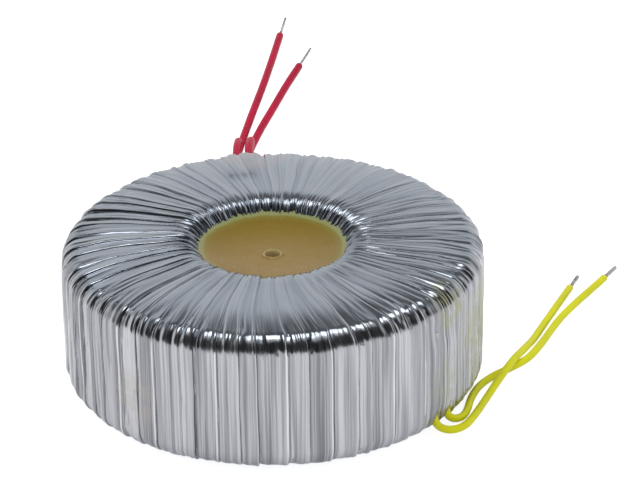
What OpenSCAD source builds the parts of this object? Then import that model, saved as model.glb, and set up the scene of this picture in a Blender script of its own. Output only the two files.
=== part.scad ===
// Toroidal mains transformer, potted bore, film-wrapped, with two red and two yellow leads.
// It lies flat: the origin is on the axis, at the lowest point, and the axis is Z.
// Every layer is worked out from the core outwards, so a change of one size moves what lies over it.

/* [Core] */
// Outside diameter of the strip-wound steel core
core_od = 109; // [90:0.5:140]
// Inside diameter of the core
core_id = 55.5; // [50:0.5:70]
// Height of the core
core_h = 29.3; // [18:0.1:45]
// Thickness of the board ring on each flat face of the core
edge_ring_t = 0.6; // [0.4:0.1:1.5]
// Thickness of the tape round the core
core_wrap_t = 0.5; // [0.3:0.1:1.2]
// Radius inside the tape where it turns over the core's edges
core_corner = 0.5; // [0.3:0.1:1.2]

/* [Windings] */
// Build-up of the primary winding in the bore
primary_bore_t = 2.6; // [1.8:0.1:3.2]
// Build-up of the primary winding on the outside, where its turns spread out
primary_wall_t = 1.3; // [0.8:0.1:1.8]
// Thickness of the tape between the windings
winding_wrap_t = 0.5; // [0.3:0.1:1]
// Width of the square secondary wire
wire_d = 1.7; // [1.2:0.1:1.8]
// Number of turns that would fill the whole ring
turns = 72; // [30:1:72]

/* [Outer wrap] */
// Thickness of the film in the bore and on the outside, over its folds
film_t = 1.1; // [0.9:0.05:1.6]
// Number of film strips round the ring
strips = 60; // [36:1:60]
// Depth of the fold between two strips
fold_depth = 0.6; // [0.2:0.05:0.65]
// Angle that a strip gains between the bore and the outside
lay_angle = 3; // [-6:0.5:6]
// Height of the swelling in the film over a lead that runs below it
swelling = 0.7; // [0.6:0.05:1.5]

/* [Potting] */
// Diameter of the mounting hole through the resin
hole_d = 4.4; // [3:0.1:8]
// Outside diameter of the small lip round the hole
lip_d = 5.6; // [5.6:0.1:12]
// Height of the lip
lip_h = 0.4; // [0.2:0.1:1]
// Drop from the top of the ring to the edge of the resin
resin_drop = 3.5; // [3:0.1:5]
// Depth of the dish in the resin's top face
dish_depth = 3.5; // [1:0.1:8]

/* [Leads] */
// Diameter of a red lead over its insulation
red_d = 2.6; // [2:0.1:2.8]
// Diameter of a yellow lead over its insulation
yellow_d = 2.2; // [1.8:0.1:2.3]
// Diameter of a red lead's tinned conductor
red_tip_d = 0.9; // [0.5:0.1:1.5]
// Diameter of a yellow lead's tinned conductor
yellow_tip_d = 1.2; // [0.5:0.1:1.5]
// Length of the tinned end of a red lead
red_tip_l = 16; // [5:0.5:20]
// Length of the tinned end of a yellow lead
yellow_tip_l = 8; // [5:0.5:12]
// Wall of the sleeve over the joint between a lead and its winding
sleeve_wall = 0.15; // [0.1:0.05:0.3]
// Length of a joint sleeve
sleeve_l = 12; // [8:0.5:14]

/* [Fits] */
// Clearance between two layers of the ring
layer_gap = 0.05; // [0.02:0.01:0.1]
// Clearance between the windings and the film over them
film_gap = 0.3; // [0.25:0.01:0.4]
// Clearance round the resin, and round a lead where it passes the film
seat_gap = 0.08; // [0.05:0.01:0.15]

/* [Hidden] */
$fn = 96;
past = 1; // overshoot of a cut beyond the body that it goes through

// A section of the ring is six numbers, and these name their places in it.
BORE = 0; // bore radius
WALL = 1; // outer radius
TOP_BORE = 2; // half height beside the bore
TOP_WALL = 3; // half height beside the outer wall
ROUND_BORE = 4; // edge radius beside the bore
ROUND_WALL = 5; // edge radius beside the outer wall

// The section that lies outside another by one thickness in the bore and one on the wall.
// The edges keep their centres, so that each layer is the offset of the last.
function grown(s, bore_t, wall_t) = [
    s[BORE] - bore_t, s[WALL] + wall_t,
    s[TOP_BORE] + bore_t, s[TOP_WALL] + wall_t,
    s[ROUND_BORE] + bore_t, s[ROUND_WALL] + wall_t,
];

// Centres of the upper edges, [radius, height over the middle]
function bore_centre(s) = [s[BORE] + s[ROUND_BORE], s[TOP_BORE] - s[ROUND_BORE]];
function wall_centre(s) = [s[WALL] - s[ROUND_WALL], s[TOP_WALL] - s[ROUND_WALL]];

// Angle of the top face's normal, which leans outwards where the ring is higher beside the bore
function face_normal(s) =
    let (span = wall_centre(s) - bore_centre(s))
    atan2(span[1], span[0]) + acos((s[ROUND_BORE] - s[ROUND_WALL]) / norm(span));

function arc(centre, radius, from, to, steps) = [
    for (i = [0 : steps])
        let (a = from + (to - from) * i / steps)
        centre + radius * [cos(a), sin(a)]
];
function mirrored(points) = [for (i = [len(points) - 1 : -1 : 0]) [points[i][0], -points[i][1]]];

// Outline of a section, from the bore over the top face to the outer wall and back below
function outline(s, steps = 6) =
    let (
        n = face_normal(s),
        upper = concat(
            arc(bore_centre(s), s[ROUND_BORE], 180, n, steps),
            arc(wall_centre(s), s[ROUND_WALL], n, 0, steps)
        )
    )
    concat(upper, mirrored(upper));

ring_top = core_h / 2 + layer_gap + edge_ring_t;
wrap_in = [
    core_id / 2 - layer_gap, core_od / 2 + layer_gap,
    ring_top + layer_gap, ring_top + layer_gap,
    core_corner, core_corner,
];
wrap_out = grown(wrap_in, core_wrap_t, core_wrap_t);
primary_in = grown(wrap_out, layer_gap, layer_gap);
primary_out = grown(primary_in, primary_bore_t, primary_wall_t);
tape_in = grown(primary_out, layer_gap, layer_gap);
tape_out = grown(tape_in, winding_wrap_t, winding_wrap_t);
wire_middle = grown(tape_out, layer_gap + wire_d / 2, layer_gap + wire_d / 2);
cavity = grown(tape_out, layer_gap + wire_d + film_gap, layer_gap + wire_d + film_gap);
film = grown(cavity, film_t, film_t);

// Height of the ring's middle plane over the surface that it lies on
middle = film[TOP_BORE];

// Angle round the bore-side edge where the resin meets the film, from the top and from the bottom
resin_angle = 180 - asin((film[ROUND_BORE] - resin_drop) / film[ROUND_BORE]);
foot_gap = 0.6; // height of the film's lower edge over the resin's foot
foot_angle = 180 - asin((film[ROUND_BORE] - foot_gap) / film[ROUND_BORE]);

// Rows of the film's surface: [point on its section, normal, share of the fold's depth, share of lay]
film_normal = face_normal(film);
function edge_rows(centre, radius, angles, folds, lays) = [
    for (i = [0 : len(angles) - 1])
        let (n = [cos(angles[i]), sin(angles[i])])
        [centre + radius * n, n, folds[i], lays[i]]
];
function face_rows(from, to, normal, steps, fold, lay_from, lay_to) = [
    for (i = [1 : steps - 1])
        let (t = i / steps)
        [from + (to - from) * t, [cos(normal), sin(normal)], fold, lay_from + (lay_to - lay_from) * t]
];
function below(p) = [p[0], -p[1]];
top_bore_at = bore_centre(film);
top_wall_at = wall_centre(film);
top_from = top_bore_at + film[ROUND_BORE] * [cos(film_normal), sin(film_normal)];
top_to = top_wall_at + film[ROUND_WALL] * [cos(film_normal), sin(film_normal)];
function between(a, b, t) = a + (b - a) * t;
face_fold = 0.55; // share of the fold's depth on the flat faces
wall_fold = 0.8; // share of the fold's depth on the outer wall
film_rows = concat(
    edge_rows(
        top_bore_at, film[ROUND_BORE],
        [180, resin_angle, between(resin_angle, film_normal, 0.35),
            between(resin_angle, film_normal, 0.7), film_normal],
        [0, 0, 0.6, 0.9, 0.7], [0, 0, 0, 0.05, 0.1]
    ),
    face_rows(top_from, top_to, film_normal, 5, face_fold, 0.1, 0.9),
    edge_rows(
        top_wall_at, film[ROUND_WALL],
        [for (i = [0 : 4]) between(film_normal, 0, i / 4)],
        [0.7, 0.9, 1, 1, 0.9], [0.9, 0.95, 1, 1, 1]
    ),
    face_rows([film[WALL], top_wall_at[1]], [film[WALL], -top_wall_at[1]], 0, 3, wall_fold, 1, 1),
    edge_rows(
        below(top_wall_at), film[ROUND_WALL],
        [for (i = [0 : 3]) between(0, -film_normal, i / 3)],
        [0.9, 1, 1, 0.8], [1, 1, 0.95, 0.9]
    ),
    face_rows(below(top_to), below(top_from), -film_normal, 3, face_fold, 0.9, 0.1),
    edge_rows(
        below(top_bore_at), film[ROUND_BORE],
        [-film_normal, -foot_angle, between(-foot_angle, -180, 0.5), -180],
        [0.6, 0, 0, 0], [0.1, 0, 0, 0]
    )
);

// Places across a strip, from its tucked edge to the edge that lies over the next one
across = [[0, 1], [0.45, 0.4], [0.93, 0]];
pitch = 360 / strips;
uneven = 0.26; // share of the pitch by which a strip's edge wanders
bow = 0.8; // angle by which a fold bows on its way from the bore to the wall
bow_turn = 6; // angle from strip to strip in the wave that sets the bow

// No two strips are alike: sines of a strip's number, with angles that never fall into step
function wander(k) = 0.6 * sin(137.5 * k) + 0.4 * sin(47 * k + 30);
function fold_share(k) = 0.8 + 0.2 * sin(99 * k + 10);
function strip_edge(k) = (k + uneven * wander(k % strips)) * pitch;

// Height that the film gains over the leads below it, at one point of its surface
function to_segment(p, a, b) =
    let (t = max(0, min(1, (p - a) * (b - a) / pow(norm(b - a), 2))))
    norm(p - a - t * (b - a));
function bump(away, width) = exp(-pow(max(0, away) / width, 2));
function rise(p) = swelling * max([
    for (way = hidden_ways)
        bump(to_segment(p, way[0], way[1]) - way[2], way[2])
]);

// Points of one row of the film, all round the ring
function film_ring(row) = [
    for (k = [0 : strips - 1], c = across)
        let (
            a = between(strip_edge(k), strip_edge(k + 1), c[0]) + lay_angle * row[3]
                + bow * sin(bow_turn * k) * sin(180 * row[3]),
            at = [row[0][0] * cos(a), row[0][0] * sin(a), middle + row[0][1]],
            out = rise(at) - fold_depth * row[2] * c[1] * fold_share(k),
            p = row[0] + row[1] * out
        )
        [p[0] * cos(a), p[0] * sin(a), middle + p[1]]
];

// Points of the hollow that the film leaves for the windings
cavity_columns = 72;
cavity_rings = [
    for (p = outline(cavity, 3)) [
        for (i = [0 : cavity_columns - 1])
            let (a = 360 * i / cavity_columns)
            [p[0] * cos(a), p[0] * sin(a), middle + p[1]]
    ]
];

// A closed surface through rings of points that run round a ring-shaped body
module ring_surface(rings) {
    rows = len(rings);
    n = len(rings[0]);
    polyhedron(
        points = [for (ring = rings) each ring],
        faces = [
            for (j = [0 : rows - 1], i = [0 : n - 1])
                let (
                    a = j * n + i,
                    b = j * n + (i + 1) % n,
                    c = ((j + 1) % rows) * n + (i + 1) % n,
                    d = ((j + 1) % rows) * n + i
                )
                each [[a, b, c], [a, c, d]]
        ],
        convexity = 10
    );
}

// Leads: the route of each, then the tube along it
red_route_1 = [
    [-10.3, 47.5, 41.75], [-10.1, 55, 41.4], [-9.9, 63, 41], [-9.6, 70.5, 39.4], [-9.8, 78, 35.2],
    [-10.3, 84.5, 28.8], [-10.9, 90.5, 20.6], [-11.5, 96.5, 12.4], [-12.1, 103, 6], [-12.5, 111, 2.3],
    [-12.6, 121, 1.3], [-12, 131, 1.3], [-10.6, 143, 1.3], [-6.6, 169, 1.3], [-2.3, 195, 1.3],
    [1.2, 218, 1.3], [4.3, 240, 1.3],
];
red_route_2 = [
    [-6.6, 48, 41.75], [-6.4, 55.5, 41.4], [-6.3, 63.5, 41], [-5.9, 71, 39.4], [-6, 78.5, 35.2],
    [-6.4, 85, 28.8], [-7, 91, 20.6], [-7.7, 97, 12.4], [-8.4, 103.5, 6], [-8.9, 111.5, 2.3],
    [-9.1, 121, 1.3], [-8.6, 131, 1.3], [-7.2, 142, 1.3], [-3.3, 160, 1.3], [1.6, 179, 1.3],
    [6, 196, 1.3], [10.7, 212.5, 1.3],
];
yellow_route_1 = [
    [43.4, -38.95, 21], [43.4, -38.95, 12], [43.4, -38.95, 7], [44.1, -38.9, 4.1], [45.9, -38.5, 2.2],
    [48.5, -37.8, 1.3], [51.2, -36.3, 1.1], [53.5, -33.5, 1.1], [56.4, -27.5, 1.1], [59.8, -20, 1.5],
    [63.6, -12.4, 2.6], [68, -4, 3.6], [72.2, 4.7, 2.7], [75.7, 12.8, 1.5], [80.3, 24, 1.1],
    [89.2, 44.2, 1.1],
];
yellow_route_2 = [
    [46.95, -34.6, 21], [46.95, -34.6, 12], [46.95, -34.6, 7], [47.55, -34.25, 4.1], [49, -33.1, 2.2],
    [51.1, -31.4, 1.3], [52.6, -29.2, 1.1], [53.7, -26, 1.1], [55.2, -20, 1.1], [57.8, -13.8, 1.1],
    [61.8, -8.6, 1.1], [67.4, -3.7, 1.1], [72.8, 1.6, 1.1], [77.4, 9.8, 1.1], [85.8, 27.5, 1.1],
    [100.2, 50.1, 1.1],
];

// The hidden stretch of each lead and its joint: two ends, and its distance from the film's face
function hidden_way(route, d) = [
    route[0] - heading(route, 0) * sleeve_l, route[1], d / 2 + sleeve_wall + film_t / 2
];
hidden_ways = [
    hidden_way(red_route_1, red_d), hidden_way(red_route_2, red_d),
    hidden_way(yellow_route_1, yellow_d), hidden_way(yellow_route_2, yellow_d),
];

function unit(v) = v / norm(v);
function heading(route, i) = unit(route[min(i + 1, len(route) - 1)] - route[max(i - 1, 0)]);
sides = 8;
upright = 0.9; // a stretch steeper than this takes its sides from a level direction
function tube_ring(centre, along, radius) =
    let (
        side = unit(cross(along, abs(along[2]) < upright ? [0, 0, 1] : [-1, 1, 0])),
        up = cross(side, along)
    )
    [
        for (i = [0 : sides - 1])
            let (a = 360 * (i + 0.5) / sides)
            centre + radius * (side * cos(a) + up * sin(a))
    ];

module tube(route, radius) {
    last = len(route) - 1;
    polyhedron(
        points = [for (i = [0 : last]) each tube_ring(route[i], heading(route, i), radius)],
        faces = concat(
            [[for (i = [0 : sides - 1]) i]],
            [
                for (j = [0 : last - 1], i = [0 : sides - 1])
                    let (
                        a = j * sides + i,
                        b = j * sides + (i + 1) % sides
                    )
                    each [[a, b + sides, b], [a, a + sides, b + sides]]
            ],
            [[for (i = [sides - 1 : -1 : 0]) last * sides + i]]
        ),
        convexity = 10
    );
}

// A round bar of one diameter that starts at a point and runs along a direction
module bar(from, along, length, d) {
    turn = acos(along[2]);
    lean = atan2(along[1], along[0]);
    translate(from) rotate([0, turn, lean]) cylinder(h = length, d = d);
}

module lead(route, d, colour) color(colour) tube(route, d / 2);
module lead_tip(route, d, length) {
    last = len(route) - 1;
    color("silver") bar(route[last], heading(route, last), length, d);
}
module joint_sleeve(route, d) {
    color("ivory") bar(route[0], -heading(route, 0), sleeve_l, d + 2 * sleeve_wall);
}
// The way that a lead and its joint take through the film, up to one ring of the lead's route
way_gap = 3 * seat_gap; // a lead lies looser than its joint
red_way_rings = 3;
yellow_way_rings = 7;
module lead_way(route, d, rings) {
    along = heading(route, 0);
    tube([for (i = [0 : rings - 1]) route[i]], d / 2 + way_gap);
    bar(
        route[0] + along * seat_gap, -along,
        sleeve_l + 2 * seat_gap, d + 2 * sleeve_wall + 2 * seat_gap
    );
}

module layer(outer, inner) {
    translate([0, 0, middle]) rotate_extrude() difference() {
        polygon(outline(outer));
        polygon(outline(inner));
    }
}

module core() {
    color("dimgray") translate([0, 0, middle - core_h / 2]) difference() {
        cylinder(h = core_h, d = core_od);
        translate([0, 0, -past]) cylinder(h = core_h + 2 * past, d = core_id);
    }
}

module core_edge_ring(base) {
    color("tan") translate([0, 0, base]) difference() {
        cylinder(h = edge_ring_t, d = core_od - 2 * core_corner);
        translate([0, 0, -past]) cylinder(h = edge_ring_t + 2 * past, d = core_id + 2 * core_corner);
    }
}
module core_edge_ring_top() core_edge_ring(middle + core_h / 2 + layer_gap);
module core_edge_ring_bottom() core_edge_ring(middle - core_h / 2 - layer_gap - edge_ring_t);

module core_wrap() color("ivory") layer(wrap_out, wrap_in);
module primary_winding() color("chocolate") layer(primary_out, primary_in);
module winding_wrap() color("lightyellow") layer(tape_out, tape_in);

// One turn of the square secondary wire, in the plane of X and Z
module turn() {
    rotate([90, 0, 0]) linear_extrude(height = wire_d, center = true) difference() {
        polygon(outline(grown(wire_middle, wire_d / 2, wire_d / 2), 3));
        polygon(outline(grown(wire_middle, -wire_d / 2, -wire_d / 2)));
    }
}

// The secondary leaves two gaps, where the leads run under the film: [azimuth, half angle]
lead_gaps = [[101.5, 9.5], [-39.2, 6.5]];
function azimuth_between(a, b) = abs((a - b + 540) % 360 - 180);
function clear_of_leads(a) = min([for (gap = lead_gaps) azimuth_between(a, gap[0]) - gap[1]]) > 0;
module secondary_winding() {
    step = 360 / turns;
    color("peru") translate([0, 0, middle])
        for (i = [0 : turns - 1]) if (clear_of_leads(i * step)) rotate([0, 0, i * step]) turn();
}

module outer_wrap() {
    color("silver") difference() {
        ring_surface([for (row = film_rows) film_ring(row)]);
        ring_surface(cavity_rings);
        for (route = [red_route_1, red_route_2]) lead_way(route, red_d, red_way_rings);
        for (route = [yellow_route_1, yellow_route_2]) lead_way(route, yellow_d, yellow_way_rings);
    }
}

// The resin fills the bore up to a dished face, and its foot is flat
resin_edge = bore_centre(film) + (film[ROUND_BORE] + seat_gap) * [cos(resin_angle), sin(resin_angle)];
dish_floor = resin_edge[1] - dish_depth;
dish_steps = 8;
foot_steps = 8;
rim_steps = 6;
module potting() {
    round_out = film[ROUND_BORE] + seat_gap;
    side = concat(
        arc(below(bore_centre(film)), round_out, -foot_angle, -180, foot_steps),
        arc(bore_centre(film), round_out, 180, resin_angle, rim_steps)
    );
    dish = [
        for (i = [dish_steps - 1 : -1 : 0])
            let (t = i / dish_steps)
            [between(lip_d / 2, resin_edge[0], t), dish_floor + dish_depth * pow(t, 2)]
    ];
    color("darkkhaki") translate([0, 0, middle]) difference() {
        rotate_extrude() polygon(concat(
            [[0, -middle], [side[0][0], -middle]],
            side,
            dish,
            [[(hole_d + lip_d) / 4, dish_floor + lip_h], [0, dish_floor + lip_h]]
        ));
        translate([0, 0, -middle - past]) cylinder(h = 2 * (middle + past), d = hole_d);
    }
}

module red_joint_sleeve_1() joint_sleeve(red_route_1, red_d);
module red_joint_sleeve_2() joint_sleeve(red_route_2, red_d);
module yellow_joint_sleeve_1() joint_sleeve(yellow_route_1, yellow_d);
module yellow_joint_sleeve_2() joint_sleeve(yellow_route_2, yellow_d);
module red_lead_1() lead(red_route_1, red_d, "crimson");
module red_lead_2() lead(red_route_2, red_d, "crimson");
module yellow_lead_1() lead(yellow_route_1, yellow_d, "gold");
module yellow_lead_2() lead(yellow_route_2, yellow_d, "gold");
module red_lead_tip_1() lead_tip(red_route_1, red_tip_d, red_tip_l);
module red_lead_tip_2() lead_tip(red_route_2, red_tip_d, red_tip_l);
module yellow_lead_tip_1() lead_tip(yellow_route_1, yellow_tip_d, yellow_tip_l);
module yellow_lead_tip_2() lead_tip(yellow_route_2, yellow_tip_d, yellow_tip_l);

core();
core_edge_ring_top();
core_edge_ring_bottom();
core_wrap();
primary_winding();
winding_wrap();
secondary_winding();
outer_wrap();
potting();
red_joint_sleeve_1();
red_joint_sleeve_2();
yellow_joint_sleeve_1();
yellow_joint_sleeve_2();
red_lead_1();
red_lead_2();
yellow_lead_1();
yellow_lead_2();
red_lead_tip_1();
red_lead_tip_2();
yellow_lead_tip_1();
yellow_lead_tip_2();
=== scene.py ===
"""Toroidal mains transformer: the looks of its film, resin and leads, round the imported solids."""

import logging
import math
from dataclasses import dataclass
from enum import Enum
from typing import Callable, Iterable, Sequence

import bpy
import numpy as np
from mathutils import Matrix


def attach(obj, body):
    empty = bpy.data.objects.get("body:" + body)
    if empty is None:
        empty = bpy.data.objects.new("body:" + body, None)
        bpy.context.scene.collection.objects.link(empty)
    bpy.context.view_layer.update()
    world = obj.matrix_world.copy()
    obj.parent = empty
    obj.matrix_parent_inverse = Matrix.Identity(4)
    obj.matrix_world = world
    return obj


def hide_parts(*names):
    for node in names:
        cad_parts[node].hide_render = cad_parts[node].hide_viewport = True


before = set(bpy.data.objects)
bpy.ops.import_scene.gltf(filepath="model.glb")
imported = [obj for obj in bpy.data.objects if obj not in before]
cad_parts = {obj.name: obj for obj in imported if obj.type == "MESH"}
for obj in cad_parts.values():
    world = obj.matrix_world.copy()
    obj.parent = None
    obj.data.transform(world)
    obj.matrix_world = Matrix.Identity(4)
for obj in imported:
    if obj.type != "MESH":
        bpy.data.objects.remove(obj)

LOG = logging.getLogger("transformer")
MM = 0.001
BODY = "root"
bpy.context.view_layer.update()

Point = tuple[float, float, float]
Colour = tuple[float, float, float]


# ---------------------------------------------------------------- node trees


class Value:
    """A number in a node tree that sums, products and functions build on."""

    def __init__(self, tree: bpy.types.NodeTree, socket: bpy.types.NodeSocket) -> None:
        """Keeps the tree and the socket that carries the number."""
        self.tree = tree
        self.socket = socket

    def math(self, operation: str, *values: "Value | float") -> "Value":
        """Adds a Math node.

        Args:
            operation: Blender's name of the operation.
            values: The node's inputs in order, as values of the tree or numbers.

        Returns:
            The node's result.
        """
        node = self.tree.nodes.new("ShaderNodeMath")
        node.operation = operation
        for place, value in enumerate(values):
            if isinstance(value, Value):
                self.tree.links.new(value.socket, node.inputs[place])
            else:
                node.inputs[place].default_value = value
        return Value(self.tree, node.outputs[0])

    def __add__(self, other: "Value | float") -> "Value":
        """Sum."""
        return self.math("ADD", self, other)

    __radd__ = __add__

    def __sub__(self, other: "Value | float") -> "Value":
        """Difference."""
        return self.math("SUBTRACT", self, other)

    def __rsub__(self, other: float) -> "Value":
        """Difference from a number."""
        return self.math("SUBTRACT", other, self)

    def __mul__(self, other: "Value | float") -> "Value":
        """Product."""
        return self.math("MULTIPLY", self, other)

    __rmul__ = __mul__

    def __truediv__(self, other: "Value | float") -> "Value":
        """Quotient."""
        return self.math("DIVIDE", self, other)

    def __pow__(self, other: "Value | float") -> "Value":
        """Power."""
        return self.math("POWER", self, other)

    def __mod__(self, other: "Value | float") -> "Value":
        """Remainder that is never negative."""
        return self.math("FLOORED_MODULO", self, other)

    def sin(self) -> "Value":
        """Sine of an angle in degrees."""
        return self.math("SINE", self * math.radians(1))

    def cos(self) -> "Value":
        """Cosine of an angle in degrees."""
        return self.math("COSINE", self * math.radians(1))

    def abs(self) -> "Value":
        """Size without the sign."""
        return self.math("ABSOLUTE", self)

    def exp(self) -> "Value":
        """The exponential function."""
        return self.math("EXPONENT", self)

    def least(self, other: "Value | float") -> "Value":
        """The smaller of two."""
        return self.math("MINIMUM", self, other)

    def most(self, other: "Value | float") -> "Value":
        """The larger of two."""
        return self.math("MAXIMUM", self, other)

    def ramp(self, start: float, end: float, low: float = 0.0, high: float = 1.0) -> "Value":
        """Smooth step.

        Args:
            start: Where the step starts.
            end: Where it ends.
            low: Result at the start.
            high: Result at the end.

        Returns:
            A value that goes from low to high and stays there.
        """
        node = self.tree.nodes.new("ShaderNodeMapRange")
        node.interpolation_type = "SMOOTHSTEP"
        self.tree.links.new(self.socket, node.inputs["Value"])
        for name, number in (
            ("From Min", start), ("From Max", end), ("To Min", low), ("To Max", high)
        ):
            node.inputs[name].default_value = number
        return Value(self.tree, node.outputs["Result"])


class Sheet:
    """A node tree with short ways to add the nodes that the finishes and the film need."""

    def __init__(self, tree: bpy.types.NodeTree) -> None:
        """Keeps the tree."""
        self.tree = tree

    def node(self, kind: str, **settings: object) -> bpy.types.Node:
        """Adds a node.

        Args:
            kind: Blender's name of the node's type.
            settings: Properties of the node.

        Returns:
            The new node.
        """
        node = self.tree.nodes.new(kind)
        for name, value in settings.items():
            setattr(node, name, value)
        return node

    def put(self, target: bpy.types.NodeSocket, value: object) -> None:
        """Links a value, or a socket, to an input, or sets the input to a plain number.

        Args:
            target: The input.
            value: The value, socket, colour or number for it.
        """
        if isinstance(value, Value):
            value = value.socket
        if isinstance(value, bpy.types.NodeSocket):
            self.tree.links.new(value, target)
        else:
            target.default_value = value

    def joined(self, x: object, y: object, z: object) -> bpy.types.NodeSocket:
        """Makes a vector of three values.

        Args:
            x: Its first part.
            y: Its second part.
            z: Its third part.

        Returns:
            The vector.
        """
        node = self.node("ShaderNodeCombineXYZ")
        for place, value in enumerate((x, y, z)):
            self.put(node.inputs[place], value)
        return node.outputs[0]

    def parts(self, vector: bpy.types.NodeSocket) -> list[Value]:
        """Splits a vector into its three values.

        Args:
            vector: The vector.

        Returns:
            Its three parts.
        """
        node = self.node("ShaderNodeSeparateXYZ")
        self.put(node.inputs[0], vector)
        return [Value(self.tree, socket) for socket in node.outputs]

    def noise(
        self, vector: bpy.types.NodeSocket, scale: float, detail: float = 2.0, rough: float = 0.5
    ) -> Value:
        """Adds a noise.

        Args:
            vector: Where the noise is read.
            scale: Features for each unit of the vector.
            detail: Number of finer layers.
            rough: Share that each finer layer keeps.

        Returns:
            The noise, about one half on average.
        """
        node = self.node("ShaderNodeTexNoise", noise_dimensions="3D")
        self.put(node.inputs["Vector"], vector)
        node.inputs["Scale"].default_value = scale
        node.inputs["Detail"].default_value = detail
        node.inputs["Roughness"].default_value = rough
        return Value(self.tree, node.outputs[0])

    def mixed(self, share: object, first: object, second: object) -> bpy.types.NodeSocket:
        """Mixes two colours by a share.

        Args:
            share: Share of the second colour.
            first: The first colour.
            second: The second colour.

        Returns:
            The mixed colour.
        """
        node = self.node("ShaderNodeMix", data_type="RGBA")
        self.put(node.inputs["Factor"], share)
        for socket, colour in ((node.inputs[6], first), (node.inputs[7], second)):
            self.put(socket, (*colour, 1.0) if isinstance(colour, tuple) else colour)
        return node.outputs[2]

    def ramped(self, value: Value, stops: Sequence[tuple[float, Colour]]) -> bpy.types.NodeSocket:
        """Turns a value into a colour by a ramp of stops.

        Args:
            value: The value.
            stops: Places on the ramp with their colours.

        Returns:
            The colour.
        """
        node = self.node("ShaderNodeValToRGB")
        ramp = node.color_ramp
        while len(ramp.elements) < len(stops):
            ramp.elements.new(0.5)
        for element, (place, colour) in zip(ramp.elements, stops):
            element.position = place
            element.color = (*colour, 1.0)
        self.put(node.inputs[0], value)
        return node.outputs[0]


# ---------------------------------------------------------------- finishes


MADE: dict[str, bpy.types.Material] = {}


@dataclass(frozen=True)
class Finish:
    """A surface finish: its name, the record's slot and the shader's constant values."""

    name: str
    slot: str
    constants: tuple[tuple[str, float], ...] = ()

    def paint(self, sheet: Sheet, shader: bpy.types.Node) -> None:
        """Adds the nodes that drive the shader.

        Args:
            sheet: The material's node tree.
            shader: Its Principled shader.
        """
        raise NotImplementedError

    def build(self) -> bpy.types.Material:
        """Makes the material.

        Returns:
            The material, with a Principled shader that this finish drives.
        """
        if self.name in MADE:
            return MADE[self.name]
        material = bpy.data.materials.new(self.name)
        MADE[self.name] = material
        material.use_nodes = True
        shader = material.node_tree.nodes["Principled BSDF"]
        for name, value in self.constants:
            shader.inputs[name].default_value = value
        self.paint(Sheet(material.node_tree), shader)
        return material

    @staticmethod
    def place(sheet: Sheet) -> bpy.types.NodeSocket:
        """Object coordinates, in metres."""
        return sheet.node("ShaderNodeTexCoord").outputs["Object"]

    @staticmethod
    def attribute(sheet: Sheet, name: str) -> bpy.types.NodeSocket:
        """A vector that the mesh carries."""
        return sheet.node("ShaderNodeAttribute", attribute_name=name).outputs["Vector"]

    @staticmethod
    def number(sheet: Sheet, name: str) -> Value:
        """A number that the mesh carries.

        Args:
            sheet: The material's node tree.
            name: The attribute's name.

        Returns:
            The number.
        """
        node = sheet.node("ShaderNodeAttribute", attribute_name=name)
        return Value(sheet.tree, node.outputs["Fac"])

    @staticmethod
    def bump(sheet: Sheet, shader: bpy.types.Node, height: Value, depth: float) -> None:
        """Raises the surface by a height of a given depth in metres.

        Args:
            sheet: The material's node tree.
            shader: Its Principled shader.
            height: The height, from 0 to 1.
            depth: The height of 1, in metres.
        """
        node = sheet.node("ShaderNodeBump")
        node.inputs["Distance"].default_value = depth
        sheet.put(node.inputs["Height"], height)
        sheet.put(shader.inputs["Normal"], node.outputs[0])


@dataclass(frozen=True)
class Tint:
    """A stain on the film: its middle, its reach in millimetres, its colour and strength."""

    centre: Point
    reach: float
    colour: Colour
    strength: float


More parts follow.
